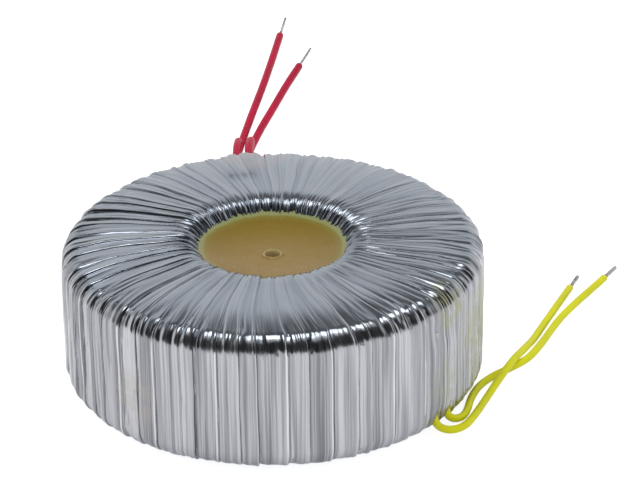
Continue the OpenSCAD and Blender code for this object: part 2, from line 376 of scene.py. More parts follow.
@dataclass(frozen=True)
class MetallisedFilm(Finish):
    """Glossy silver film with streaks along its folds and a few stains; painted shadow and painted
    highlight along the strips' edges, and partly painted reflection in the wall's streaks.
    """

    face_dark: Colour = (0.335, 0.375, 0.430)
    face_light: Colour = (0.440, 0.480, 0.535)
    # The wall's colours span a wider range than the face's: partly the film's own streaks, partly
    # painted reflection of the folds.
    wall_dark: Colour = (0.225, 0.230, 0.260)
    wall_light: Colour = (0.640, 0.655, 0.700)
    # Painted shadow: the dark line under each strip's overlapping edge.
    painted_edge_shadow_colour: Colour = (0.055, 0.055, 0.070)
    # Painted highlight: the bright line beside each strip's edge on the wall.
    glint_colour: Colour = (0.92, 0.92, 0.94)
    wall_from: float = 55.5 * MM
    wall_full: float = 58.8 * MM
    crease_height: float = 0.07 * MM
    tints: tuple[Tint, ...] = ()

    def paint(self, sheet: Sheet, shader: bpy.types.Node) -> None:
        """Adds streaks (partly painted reflection on the wall), painted shadow and painted
        highlight along the strip edges, stains and fine creases.

        Args:
            sheet: The material's node tree.
            shader: Its Principled shader.
        """
        fx, fy, fs = sheet.parts(self.attribute(sheet, "flow"))
        across = self.number(sheet, "across")
        shade = self.number(sheet, "shade")
        place = self.place(sheet)
        x, y, z = sheet.parts(place)
        wall = ((x * x + y * y) ** 0.5).ramp(self.wall_from, self.wall_full)
        fine = sheet.noise(sheet.joined(fx, fy, fs * 0.012), 1500, 2, 0.6)
        streaks = sheet.noise(sheet.joined(fx, fy, fs * 0.02), 760, 2, 0.5)
        bands = sheet.noise(sheet.joined(fx, fy, fs * 0.05), 240, 1, 0.5)
        mark = streaks * 0.42 + bands * 0.22 + fine * 0.36 + (shade - 0.5) * 0.09
        face = sheet.mixed(mark.ramp(0.38, 0.62), self.face_dark, self.face_light)
        # On the wall the streaks and the per-strip term reach further: partly the film's own tone,
        # partly painted reflection of the folds and strip tilts.
        side = sheet.mixed(mark.ramp(0.33, 0.64), self.wall_dark, self.wall_light)
        colour = sheet.mixed(wall, face, side)
        # Painted shadow along each strip's edge where the next strip overlaps it, darker on the
        # wall.
        tucked = across.ramp(0.955, 0.985) + across.ramp(0.05, 0.0)
        painted_edge_shadow = tucked * (shade.ramp(0.25, 0.8, 0.25, 0.9)) * (wall * 0.6 + 0.4)
        colour = sheet.mixed(painted_edge_shadow, colour, self.painted_edge_shadow_colour)
        # Painted highlight beside each strip's edge, on the wall only.
        lit = across.ramp(0.86, 0.90) * across.ramp(0.955, 0.93) * shade.ramp(0.7, 0.2)
        colour = sheet.mixed(lit * wall * 0.8, colour, self.glint_colour)
        patches = sheet.noise(place, 260, 3, 0.6)
        for tint in self.tints:
            away = sheet.node("ShaderNodeVectorMath", operation="DISTANCE")
            sheet.put(away.inputs[0], place)
            away.inputs[1].default_value = [MM * x for x in tint.centre]
            near = Value(sheet.tree, away.outputs["Value"]).ramp(
                tint.reach * MM, tint.reach * MM * 0.25
            )
            stain = near * patches.ramp(0.35, 0.6) * tint.strength
            colour = sheet.mixed(stain, colour, tint.colour)
        sheet.put(shader.inputs["Base Color"], colour)
        rough = streaks.ramp(0.3, 0.7, 0.10, 0.20) + wall * 0.08
        sheet.put(shader.inputs["Roughness"], rough)
        creases = sheet.noise(sheet.joined(fx, fy, fs * 0.05), 1700, 3, 0.6)
        self.bump(sheet, shader, creases, self.crease_height)


@dataclass(frozen=True)
class CastResin(Finish):
    """Amber casting resin: darker and greener towards the film, with clouds and specks; painted
    light on the lip round the hole and a painted lighter front.
    """

    edge: float = 20.0

    def paint(self, sheet: Sheet, shader: bpy.types.Node) -> None:
        """Adds the colour by radius with painted light on the lip, a painted lighter front, the
        clouds and a slightly uneven skin.

        Args:
            sheet: The material's node tree.
            shader: Its Principled shader.
        """
        place = self.place(sheet)
        x, y, z = sheet.parts(place)
        radius = (x * x + y * y) ** 0.5
        share = radius / (self.edge * MM)
        clouds = sheet.noise(place, 90, 3, 0.55)
        body = sheet.ramped(
            share + (clouds - 0.5) * 0.12,
            (
                # Pale on the hole's wall and lip: painted light on the lip's rounded rim.
                (0.0, (0.62, 0.50, 0.26)),
                (0.125, (0.60, 0.48, 0.24)),
                (0.150, (0.350, 0.235, 0.058)),
                (0.60, (0.320, 0.212, 0.034)),
                (0.88, (0.285, 0.190, 0.018)),
                (0.965, (0.290, 0.240, 0.040)),
                (1.0, (0.36, 0.38, 0.15)),
            ),
        )
        # Painted shading: lighter and warmer towards the front (-y), darker at the back, as light
        # falls on the dished top.
        painted_lighter_front = sheet.mixed(
            (y * -30.0 + (clouds - 0.5) * 0.8).ramp(-0.25, 0.8) * share.ramp(0.12, 0.2),
            body,
            (0.395, 0.250, 0.085),
        )
        sheet.put(shader.inputs["Base Color"], painted_lighter_front)
        shader.inputs["Subsurface Radius"].default_value = (0.004, 0.0025, 0.0008)
        skin = sheet.noise(place, 420, 4, 0.6)
        sheet.put(shader.inputs["Roughness"], skin.ramp(0.35, 0.7, 0.26, 0.40))
        self.bump(sheet, shader, skin + sheet.noise(place, 2600, 2, 0.5) * 0.15, 0.00008)


@dataclass(frozen=True)
class Insulation(Finish):
    """Extruded plastic insulation that is a little uneven along the wire."""

    light: Colour = (0.5, 0.0, 0.05)
    deep: Colour = (0.3, 0.0, 0.03)

    def paint(self, sheet: Sheet, shader: bpy.types.Node) -> None:
        """Adds a drift of colour and extrusion marks.

        Args:
            sheet: The material's node tree.
            shader: Its Principled shader.
        """
        run, turn, across = sheet.parts(self.attribute(sheet, "flow"))
        drift = sheet.noise(sheet.joined(run, turn, across), 60, 3, 0.6)
        sheet.put(
            shader.inputs["Base Color"], sheet.mixed(drift.ramp(0.35, 0.65), self.deep, self.light)
        )
        sheet.put(shader.inputs["Roughness"], drift.ramp(0.3, 0.7, 0.30, 0.42))
        marks = sheet.noise(sheet.joined(run * 0.05, turn, across), 3500, 2, 0.5)
        self.bump(sheet, shader, marks, 0.00002)


@dataclass(frozen=True)
class TinnedWire(Finish):
    """Stranded copper that solder has coated: bright ridges, dull grey between them."""

    def paint(self, sheet: Sheet, shader: bpy.types.Node) -> None:
        """Adds patches of bright and dull solder.

        Args:
            sheet: The material's node tree.
            shader: Its Principled shader.
        """
        place = self.place(sheet)
        patches = sheet.noise(place, 900, 3, 0.6)
        sheet.put(
            shader.inputs["Base Color"],
            sheet.mixed(patches.ramp(0.4, 0.6), (0.30, 0.30, 0.31), (0.62, 0.61, 0.59)),
        )
        sheet.put(shader.inputs["Roughness"], patches.ramp(0.35, 0.65, 0.55, 0.3))
        self.bump(sheet, shader, patches, 0.00005)


@dataclass(frozen=True)
class WoundSteel(Finish):
    """Strip steel wound edge to edge: fine rings on the flat faces."""

    def paint(self, sheet: Sheet, shader: bpy.types.Node) -> None:
        """Adds the rings and a little scale.

        Args:
            sheet: The material's node tree.
            shader: Its Principled shader.
        """
        place = self.place(sheet)
        x, y, z = sheet.parts(place)
        rings = sheet.noise(sheet.joined((x * x + y * y) ** 0.5, 0.0, z * 0.01), 3300, 2, 0.4)
        scale = sheet.noise(place, 120, 4, 0.6)
        sheet.put(
            shader.inputs["Base Color"],
            sheet.mixed(
                (rings + scale * 0.5).ramp(0.5, 1.0), (0.22, 0.23, 0.25), (0.42, 0.43, 0.45)
            ),
        )
        sheet.put(shader.inputs["Roughness"], scale.ramp(0.3, 0.7, 0.32, 0.5))
        self.bump(sheet, shader, rings, 0.0001)


@dataclass(frozen=True)
class FibrousSheet(Finish):
    """Board, tape or sleeve: a plain base with fibres or creases of another shade."""

    base: Colour = (0.6, 0.5, 0.3)
    shade: Colour = (0.5, 0.4, 0.25)
    grain: float = 800.0
    depth: float = 0.00004

    def paint(self, sheet: Sheet, shader: bpy.types.Node) -> None:
        """Adds the fibres.

        Args:
            sheet: The material's node tree.
            shader: Its Principled shader.
        """
        place = self.place(sheet)
        x, y, z = sheet.parts(place)
        fibres = sheet.noise(sheet.joined(x, y, z * 0.4), self.grain, 4, 0.65)
        sheet.put(
            shader.inputs["Base Color"], sheet.mixed(fibres.ramp(0.35, 0.65), self.shade, self.base)
        )
        sheet.put(shader.inputs["Roughness"], fibres.ramp(0.3, 0.7, 0.4, 0.6))
        self.bump(sheet, shader, fibres, self.depth)


@dataclass(frozen=True)
class EnamelledCopper(Finish):
    """Copper wire under clear enamel, with the turns side by side round the ring."""

    turns: float = 420.0

    def paint(self, sheet: Sheet, shader: bpy.types.Node) -> None:
        """Adds the turns as a ripple of the angle round the axis.

        Args:
            sheet: The material's node tree.
            shader: Its Principled shader.
        """
        place = self.place(sheet)
        x, y, z = sheet.parts(place)
        turn = x.math("ARCTAN2", y, x) * self.turns
        ripple = turn.math("SINE", turn)
        patches = sheet.noise(place, 300, 3, 0.6)
        sheet.put(
            shader.inputs["Base Color"],
            sheet.mixed(patches.ramp(0.35, 0.65), (0.42, 0.15, 0.05), (0.60, 0.25, 0.10)),
        )
        sheet.put(shader.inputs["Roughness"], patches.ramp(0.3, 0.7, 0.22, 0.34))
        self.bump(sheet, shader, ripple, 0.00008)


def film_finish() -> MetallisedFilm:
    """Describes the film with its stains.

    Returns:
        The film's finish.
    """
    olive, pink, brown = (0.40, 0.41, 0.20), (0.52, 0.42, 0.44), (0.20, 0.15, 0.08)
    return MetallisedFilm(
        "folded_silver_film",
        "metallised_film",
        (("Metallic", 1.0),),
        tints=(
            Tint((47.0, -33.0, 38.0), 9.0, olive, 0.75),
            Tint((56.5, -20.0, 24.0), 16.0, olive, 0.5),
            Tint((48.0, -36.0, 16.0), 12.0, olive, 0.3),
            Tint((44.0, -39.0, 5.0), 5.0, brown, 0.7),
            Tint((48.0, -34.5, 5.0), 5.0, brown, 0.7),
            Tint((-6.0, 52.0, 43.0), 13.0, pink, 0.55),
            Tint((-38.0, -44.0, 18.0), 12.0, (0.52, 0.47, 0.40), 0.4),
        ),
    )


FILM = film_finish()
RESIN = CastResin(
    "amber_casting_resin", "resin",
    (("Subsurface Weight", 0.15), ("Subsurface Scale", 1.0), ("Specular IOR Level", 0.3)),
)
RED = Insulation(
    "red_cover", "red_insulation", (("Specular IOR Level", 0.08),),
    light=(0.661, 0.002, 0.057), deep=(0.502, 0.001, 0.038),
)
YELLOW = Insulation(
    "yellow_cover", "yellow_insulation", (("Specular IOR Level", 0.3),),
    light=(0.950, 0.950, 0.008), deep=(0.844, 0.844, 0.007),
)
TINNED = TinnedWire("tinned_strands", "tinned_wire", (("Metallic", 0.85),))
STEEL = WoundSteel("wound_strip_steel", "core_steel", (("Metallic", 1.0),))
BOARD = FibrousSheet("pressed_board", "board", base=(0.62, 0.48, 0.30), shade=(0.46, 0.34, 0.20))
TAPE = FibrousSheet(
    "polyester_tape", "tape", (("Coat Weight", 0.4),),
    base=(0.86, 0.84, 0.74), shade=(0.74, 0.71, 0.60), grain=220.0,
)
COPPER = EnamelledCopper("enamelled_copper", "copper", (("Metallic", 1.0), ("Coat Weight", 0.5)))
SLEEVE = FibrousSheet(
    "shrink_sleeve", "sleeve",
    base=(0.85, 0.83, 0.78), shade=(0.74, 0.72, 0.66), grain=1500.0,
)


# ---------------------------------------------------------------- meshes


def mesh_object(
    name: str,
    points: np.ndarray,
    faces: Sequence[Sequence[int]],
    finish: Finish,
    flow: np.ndarray | None = None,
) -> bpy.types.Object:
    """Makes a smooth mesh object.

    Args:
        name: The piece's name.
        points: Its vertices, one row of three for each, in metres.
        faces: Its faces, as lists of vertex numbers.
        finish: Its finish.
        flow: For each vertex, the place in the pattern that follows the surface.

    Returns:
        The new object, linked to the scene.
    """
    mesh = bpy.data.meshes.new(name)
    mesh.from_pydata([tuple(p) for p in points.tolist()], [], faces)
    mesh.shade_smooth()
    if flow is not None:
        layer = mesh.attributes.new("flow", "FLOAT_VECTOR", "POINT")
        layer.data.foreach_set("vector", flow.astype(np.float32).ravel())
    mesh.materials.append(finish.build())
    mesh.validate()
    piece = bpy.data.objects.new(name, mesh)
    bpy.context.scene.collection.objects.link(piece)
    return piece


def keep(piece: bpy.types.Object, finish: Finish, *nodes: str) -> None:
    """Lets a finished piece ride on the body and stand for CAD nodes.

    Args:
        piece: The finished piece.
        finish: Its finish. Not used.
        nodes: The CAD nodes that it stands for.
    """
    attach(piece, BODY)
    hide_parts(*nodes)
    count = sum(len(p.vertices) - 2 for p in piece.data.polygons)
    LOG.info("%s: %d triangles, stands for %s", piece.name, count, ", ".join(nodes))


def grid_faces(rows: int, columns: int, closed_rows: bool) -> list[tuple[int, ...]]:
    """Faces of a grid that runs round in its columns.

    Args:
        rows: Number of rings.
        columns: Points of each ring.
        closed_rows: Whether the last ring joins the first.

    Returns:
        Quads that face outwards where the rings advance to the left of the columns.
    """
    faces = []
    for j in range(rows if closed_rows else rows - 1):
        for i in range(columns):
            a, b = j * columns + i, j * columns + (i + 1) % columns
            up = (j + 1) % rows * columns
            faces.append((a, up + i, up + (i + 1) % columns, b))
    return faces


# ---------------------------------------------------------------- leads


@dataclass
class Lead:
    """One flying lead: its route from the joint under the film to the cut end."""

    name: str
    route: tuple[Point, ...]
    leaves: Point
    diameter: float
    tip_diameter: float
    tip_length: float
    finish: Insulation
    sides: int = 24
    ring_pitch: float = 1.0
    strands: int = 7
    cut_edge: tuple[tuple[float, float], ...] = ((0.05, 0.93), (0.10, 0.80))
    unevenness: float = 0.007
    tip_start: float = 1.5
    tip_pitch: float = 0.35

    def centreline(self) -> np.ndarray:
        """Smooth curve through the route, one point for each ring, in millimetres.

        Returns:
            The points of the curve.
        """
        p = np.array(self.route, float)
        p = np.vstack([2 * p[0] - p[1], p, 2 * p[-1] - p[-2]])
        fine = []
        for i in range(1, len(p) - 2):
            t = np.linspace(0, 1, 40, endpoint=False)[:, None]
            a, b, c, d = p[i - 1 : i + 3]
            fine.append(
                0.5 * (2 * b + (c - a) * t + (2 * a - 5 * b + 4 * c - d) * t**2
                       + (3 * b - a - 3 * c + d) * t**3)
            )
        fine = np.vstack([*fine, p[-2][None]])
        run = np.concatenate([[0], np.cumsum(np.linalg.norm(np.diff(fine, axis=0), axis=1))])
        stops = np.linspace(0, run[-1], int(run[-1] / self.ring_pitch) + 1)
        return np.column_stack([np.interp(stops, run, fine[:, k]) for k in range(3)])

    @staticmethod
    def frames(line: np.ndarray) -> tuple[np.ndarray, np.ndarray, np.ndarray]:
        """Directions along and across a line, without twist.

        Args:
            line: The line's points.

        Returns:
            For each point, the directions along, to the side and up.
        """
        along = np.gradient(line, axis=0)
        along /= np.linalg.norm(along, axis=1)[:, None]
        side = np.cross(along[0], [0.3, 0.2, 1.0])
        sides = []
        for a in along:
            side = side - a * (side @ a)
            side /= np.linalg.norm(side)
            sides.append(side.copy())
        sides = np.array(sides)
        return along, sides, np.cross(along, sides)

    def tube(
        self,
        name: str,
        line: np.ndarray,
        radii: np.ndarray,
        finish: Finish,
        outline: Callable[[np.ndarray, float], np.ndarray] | None = None,
    ) -> bpy.types.Object:
        """Makes a closed tube.

        Args:
            name: The piece's name.
            line: Its centreline in millimetres.
            radii: Its radius at each point of the line.
            finish: Its finish.
            outline: Share of the radius by angle and run, for a tube that isn't round.

        Returns:
            The new object.
        """
        _, side, up = self.frames(line)
        angle = np.linspace(0, 2 * np.pi, self.sides, endpoint=False)
        run = np.concatenate([[0], np.cumsum(np.linalg.norm(np.diff(line, axis=0), axis=1))])
        points, flow = [], []
        for at, s, u, radius, way in zip(line, side, up, radii, run):
            share = outline(angle, way) if outline else np.ones(self.sides)
            ring = at + (radius * share)[:, None] * (
                np.cos(angle)[:, None] * s + np.sin(angle)[:, None] * u
            )
            points.append(ring)
            flow.append(np.column_stack([
                np.full(self.sides, way), radius * np.cos(angle), radius * np.sin(angle)
            ]))
        rings = len(line)
        faces = [face[::-1] for face in grid_faces(rings, self.sides, False)]
        last = (rings - 1) * self.sides
        points.append(np.array([line[0], line[-1]]))
        flow.append(np.array([[0, 0, 0], [run[-1], 0, 0]]))
        start, end = rings * self.sides, rings * self.sides + 1
        for i in range(self.sides):
            j = (i + 1) % self.sides
            faces.append((start, j, i))
            faces.append((end, last + i, last + j))
        piece = mesh_object(
            name, np.vstack(points) * MM, faces, finish, np.vstack(flow) * MM
        )
        return piece

    def build(self) -> None:
        line = self.centreline()
        radius = self.diameter / 2
        ring = np.arange(len(line))
        wave = np.sin(ring * 0.9) + np.sin(ring * 0.37 + 1)
        radii = radius * (0.985 + self.unevenness * wave)
        along = line[-1] - line[-2]
        along /= np.linalg.norm(along)
        line_cut = np.vstack([line, [line[-1] + along * way for way, _ in self.cut_edge]])
        radii_cut = np.concatenate([radii, [radius * share for _, share in self.cut_edge]])
        cover = self.tube(f"{self.name}_cover", line_cut, radii_cut, self.finish)
        rings = int((self.tip_length + self.tip_start) / self.tip_pitch)
        steps = np.linspace(-self.tip_start, self.tip_length, rings)
        wire = line[-1] + along * steps[:, None]
        thick = self.tip_diameter / 2
        past = np.clip((steps - self.tip_length + thick) / thick, 0, 1)
        round_end = np.sqrt(np.clip(1 - past**2, 0.02, 1))
        uneven = 1 + 0.05 * np.sin(steps * 2.1) + 0.04 * np.sin(steps * 5.3 + 1)

        def twisted(angle: np.ndarray, way: float) -> np.ndarray:
            """Lobes of the twisted strands, which solder has half filled."""
            return 0.93 + 0.07 * np.cos(self.strands * angle - way * 1.1)

        tip_radii = thick * 0.98 * round_end * uneven
        tip = self.tube(f"{self.name}_end", wire, tip_radii, TINNED, twisted)
        keep(cover, self.finish, self.name)
        keep(tip, TINNED, self.name.replace("lead", "lead_tip"))


LEADS = (
    Lead(
        "red_lead_1",
        (
            (-10.3, 47.5, 41.75), (-10.1, 55, 41.4), (-9.9, 63, 41), (-9.6, 70.5, 39.4),
            (-9.8, 78, 35.2), (-10.3, 84.5, 28.8), (-10.9, 90.5, 20.6), (-11.5, 96.5, 12.4),
            (-12.1, 103, 6), (-12.5, 111, 2.3), (-12.6, 121, 1.3), (-12, 131, 1.3),
            (-10.6, 143, 1.3), (-6.6, 169, 1.3), (-2.3, 195, 1.3), (1.2, 218, 1.3),
            (4.3, 240, 1.3),
        ),
        (-10.0, 58.4, 41.2), 2.6, 0.9, 16.0, RED,
    ),
    Lead(
        "red_lead_2",
        (
            (-6.6, 48, 41.75), (-6.4, 55.5, 41.4), (-6.3, 63.5, 41), (-5.9, 71, 39.4),
            (-6, 78.5, 35.2), (-6.4, 85, 28.8), (-7, 91, 20.6), (-7.7, 97, 12.4),
            (-8.4, 103.5, 6), (-8.9, 111.5, 2.3), (-9.1, 121, 1.3), (-8.6, 131, 1.3),
            (-7.2, 142, 1.3), (-3.3, 160, 1.3), (1.6, 179, 1.3), (6, 196, 1.3),
            (10.7, 212.5, 1.3),
        ),
        (-6.4, 58.4, 41.2), 2.6, 0.9, 16.0, RED,
    ),
    Lead(
        "yellow_lead_1",
        (
            (43.4, -38.95, 21), (43.4, -38.95, 12), (43.4, -38.95, 7), (44.1, -38.9, 4.1),
            (45.9, -38.5, 2.2), (48.5, -37.8, 1.3), (51.2, -36.3, 1.1), (53.5, -33.5, 1.1),
            (56.4, -27.5, 1.1), (59.8, -20, 1.5), (63.6, -12.4, 2.6), (68, -4, 3.6),
            (72.2, 4.7, 2.7), (75.7, 12.8, 1.5), (80.3, 24, 1.1), (89.2, 44.2, 1.1),
        ),
        (43.9, -38.9, 5.0), 2.2, 1.2, 8.0, YELLOW,
    ),
    Lead(
        "yellow_lead_2",
        (
            (46.95, -34.6, 21), (46.95, -34.6, 12), (46.95, -34.6, 7), (47.55, -34.25, 4.1),
            (49, -33.1, 2.2), (51.1, -31.4, 1.3), (52.6, -29.2, 1.1), (53.7, -26, 1.1),
            (55.2, -20, 1.1), (57.8, -13.8, 1.1), (61.8, -8.6, 1.1), (67.4, -3.7, 1.1),
            (72.8, 1.6, 1.1), (77.4, 9.8, 1.1), (85.8, 27.5, 1.1), (100.2, 50.1, 1.1),
        ),
        (47.3, -34.4, 5.0), 2.2, 1.2, 8.0, YELLOW,
    ),
)


# ---------------------------------------------------------------- film


@dataclass(frozen=True)
class Section:
    """A section of the ring with rounded edges, in millimetres, mirrored below its middle."""

    bore: float
    wall: float
    top_bore: float
    top_wall: float
    round_bore: float
    round_wall: float

    def bore_centre(self) -> np.ndarray:
        """Centre of the edge beside the bore."""
        return np.array([self.bore + self.round_bore, self.top_bore - self.round_bore])

    def wall_centre(self) -> np.ndarray:
        """Centre of the edge beside the outer wall."""
        return np.array([self.wall - self.round_wall, self.top_wall - self.round_wall])

    def face_normal(self) -> float:
        """Finds how the top face leans between its two rounded edges.

        Returns:
            Angle of the top face's normal, in degrees.
        """
        span = self.wall_centre() - self.bore_centre()
        lean = math.degrees(math.atan2(span[1], span[0]))
        return lean + math.degrees(
            math.acos((self.round_bore - self.round_wall) / float(np.hypot(*span)))
        )

    def edge(self, centre: np.ndarray, radius: float, angles: Iterable[float]) -> list[list[float]]:
        """Points of a rounded edge, each as radius, height and the normal's two parts.

        Args:
            centre: Centre of the edge's arc.
            radius: Its radius.
            angles: Angles of the points, in degrees.

        Returns:
            The points.
        """
        rows = []
        for angle in angles:
            c, s = math.cos(math.radians(angle)), math.sin(math.radians(angle))
            rows.append([centre[0] + radius * c, centre[1] + radius * s, c, s])
        return rows

    def upper(self, bore_steps: int, face_steps: int, wall_steps: int) -> list[list[float]]:
        """Rows from the bore over the top face to the outer wall.

        Args:
            bore_steps: Steps round the edge beside the bore.
            face_steps: Steps across the face.
            wall_steps: Steps round the edge beside the wall.

        Returns:
            The rows, each as radius, height and the normal's two parts.
        """
        n = self.face_normal()
        near_angles = np.linspace(180.0, n, bore_steps + 1)
        near = self.edge(self.bore_centre(), self.round_bore, near_angles)
        far = self.edge(self.wall_centre(), self.round_wall, np.linspace(n, 0, wall_steps + 1))
        face = [
            [a + (b - a) * k / face_steps for a, b in zip(near[-1], far[0])]
            for k in range(1, face_steps)
        ]
        return near + face + far

    def lower(self, bore_steps: int, face_steps: int, wall_steps: int) -> list[list[float]]:
        """Rows from the outer wall under the ring to the bore, the upper ones mirrored."""
        upper = self.upper(bore_steps, face_steps, wall_steps)
        return [[r, -z, c, -s] for r, z, c, s in reversed(upper)]


SKIN = Section(20.85, 60.1, 22.2, 20.9, 7.35, 6.05)
HOLLOW = Section(21.95, 59.0, 21.1, 19.8, 6.25, 4.95)
MIDDLE = 22.2


class FoldInput(Enum):
    """Named inputs of the tree that folds the film."""

    STRIPS = "Strips"
    UNEVENNESS = "Unevenness"
    LAY = "Lay Angle"
    BOW = "Bow"
    FOLD = "Fold Depth"
    CREASE = "Crease Depth"
    SAG = "Sag"
    SWAY = "Sway"
    SWELLING = "Swelling"


DRIVING = (
    "strip", "share", "radius", "height", "out", "up", "run", "lay", "fold", "crease", "skin",
)


@dataclass
class FilmWrap:
    """The silver film: overlapping strips wound through the bore and round the ring."""

    section: Section = SKIN
    hollow: Section = HOLLOW
    middle: float = MIDDLE
    strips: int = 60
    unevenness: float = 0.26
    lay_angle: float = 3.0
    bow: float = 0.8
    fold_depth: float = 0.6
    crease_depth: float = 0.46
    sag: float = 0.42
    sway: float = 0.9
    swelling: float = 0.7
    lead_reach: float = 1.9
    lead_run_in: float = 7.0
    crown: float = 0.5
    gather: tuple[tuple[float, float], ...] = ((19.45, 17.0), (20.9, 19.7), (22.4, 22.5))
    across: tuple[float, ...] = (
        0.0, 0.02, 0.05, 0.09, 0.14, 0.19, 0.25, 0.31, 0.37, 0.43, 0.49, 0.55,
        0.61, 0.67, 0.73, 0.79, 0.84, 0.88, 0.91, 0.935, 0.952, 0.966, 0.978, 0.99,
    )
    top_steps: tuple[int, int, int] = (13, 12, 12)
    low_steps: tuple[int, int, int] = (5, 5, 9)
    wall_steps: int = 10
    hollow_steps: tuple[int, int, int] = (4, 3, 4)
    hollow_columns: int = 72
    # Row, share of the lay
    lay_by_row: tuple[tuple[float, float], ...] = (
        (0, 0.0), (13, 0.1), (25, 0.9), (37, 1.0), (47, 1.0), (56, 0.9), (61, 0.1), (66, 0.0),
    )
    # Row, depth of the folds, depth of the creases
    wrinkles_by_row: tuple[tuple[float, float, float], ...] = (
        (0, 0.5, 0.8), (3, 1.0, 1.7), (6, 1.2, 1.7), (13, 0.75, 0.42), (17, 0.7, 0.24),
        (21, 0.75, 0.3), (25, 1.0, 0.8), (30, 1.5, 1.35), (35, 1.5, 1.25), (38, 1.3, 0.8),
        (46, 1.3, 0.8), (50, 1.5, 0.9), (56, 0.9, 0.5), (61, 0.6, 0.3), (64, 0.3, 0.5),
        (66, 0.2, 0.6),
    )

    def bore_edge(self, first: list[float], last: list[float]) -> list[list[float]]:
        """Rows of the gathered edge that slopes into the resin.

        Args:
            first: The row in the bore.
            last: The row where the top face starts.

        Returns:
            The rows from the first to the last.
        """
        foot, low, high, end = (np.array(p[:2]) for p in (*self.gather, last))
        rows = [first]
        for t in np.linspace(0, 1, self.top_steps[0]):
            u = 1 - t
            at = foot * u**3 + low * 3 * u * u * t + high * 3 * u * t * t + end * t**3
            way = (low - foot) * u * u + (high - low) * 2 * u * t + (end - high) * t * t
            way = way / np.linalg.norm(way)
            rows.append([at[0], at[1], -way[1], way[0]])
        return rows

    def rows(self) -> np.ndarray:
        """Rows of the skin.

        Returns:
            For each row: radius, height, the normal's two parts, the run along the section,
            the share of the lay, of the folds' depth and of the creases' depth.
        """
        top = self.section.upper(*self.top_steps)
        low = self.section.lower(*self.low_steps)
        wall = [
            [self.section.wall, z, 1.0, 0.0]
            for z in np.linspace(top[-1][1], low[0][1], self.wall_steps + 1)[1:-1]
        ]
        gathered = self.top_steps[0]
        top[: gathered + 1] = self.bore_edge(top[0], top[gathered])
        inner, outer = self.section.bore_centre()[0], self.section.wall_centre()[0]
        for row in top:
            t = (row[0] - inner) / (outer - inner)
            if 0 < t < 1:
                row[1] += self.crown * 6.75 * t * t * (1 - t)
        rows = np.array(top + wall + low)
        step = np.linalg.norm(np.diff(rows[:, :2], axis=0), axis=1)
        run = np.concatenate([[0], np.cumsum(step)])
        place = np.arange(len(rows))
        lay = np.interp(place, *zip(*self.lay_by_row))
        stops, fold, crease = zip(*self.wrinkles_by_row)
        fold, crease = np.interp(place, stops, fold), np.interp(place, stops, crease)
        return np.column_stack([rows, run, lay, fold, crease])

    def base(self) -> bpy.types.Object:
        """The skin and the hollow before any fold, with the values that the folds need.

        Returns:
            The film as a piece without folds.
        """
        rows = self.rows()
        columns = self.strips * len(self.across)
        strip = np.repeat(np.arange(self.strips), len(self.across))
        share = np.tile(self.across, self.strips)
        angle = (strip + share) / self.strips * 2 * np.pi
        r, z = rows[:, 0][:, None], rows[:, 1][:, None]
        level = np.broadcast_to(z + self.middle, (len(rows), columns))
        skin = np.stack([r * np.cos(angle), r * np.sin(angle), level], axis=-1).reshape(-1, 3)
        inner = np.array(
            self.hollow.upper(*self.hollow_steps) + self.hollow.lower(*self.hollow_steps)
        )
        turns = np.linspace(0, 2 * np.pi, self.hollow_columns, endpoint=False)
        hollow = np.stack(
            [
                inner[:, 0][:, None] * np.cos(turns),
                inner[:, 0][:, None] * np.sin(turns),
                np.broadcast_to(
                    inner[:, 1][:, None] + self.middle, (len(inner), self.hollow_columns)
                ),
            ],
            axis=-1,
        ).reshape(-1, 3)
        faces = grid_faces(len(rows), columns, True)
        offset = len(skin)
        faces += [
            tuple(offset + v for v in face[::-1])
            for face in grid_faces(len(inner), self.hollow_columns, True)
        ]
        piece = mesh_object("film_wrap", np.vstack([skin, hollow]) * MM, faces, FILM)
        values = {
            "strip": np.tile(strip, len(rows)),
            "share": np.tile(share, len(rows)),
            "radius": np.repeat(rows[:, 0] * MM, columns),
            "height": np.repeat((rows[:, 1] + self.middle) * MM, columns),
            "out": np.repeat(rows[:, 2], columns),
            "up": np.repeat(rows[:, 3], columns),
            "run": np.repeat(rows[:, 4] * MM, columns),
            "lay": np.repeat(rows[:, 5], columns),
            "fold": np.repeat(rows[:, 6], columns),
            "crease": np.repeat(rows[:, 7], columns),
            "across": np.tile(share, len(rows)),
            "shade": np.tile(0.5 + 0.5 * np.sin(strip * 2.399 + 0.7), len(rows)),
            "skin": np.ones(offset),
        }
        for name, numbers in values.items():
            layer = piece.data.attributes.new(name, "FLOAT", "POINT")
            padded = np.zeros(offset + len(hollow), np.float32)
            padded[:offset] = numbers
            layer.data.foreach_set("value", padded)
        return piece

    def lead_lines(self) -> bpy.types.Object:
        """The stretches of lead that lie under the film, as loose edges.

        Returns:
            An object with one edge for each lead.
        """
        points, edges = [], []
        for lead in LEADS:
            a, b = np.array(lead.route[0]), np.array(lead.route[1])
            start = a - (b - a) / np.linalg.norm(b - a) * self.lead_run_in
            points += [start * MM, b * MM]
            edges.append((len(points) - 2, len(points) - 1))
        mesh = bpy.data.meshes.new("lead_lines")
        mesh.from_pydata([tuple(p) for p in points], edges, [])
        lines = bpy.data.objects.new("lead_lines", mesh)
        bpy.context.scene.collection.objects.link(lines)
        return lines

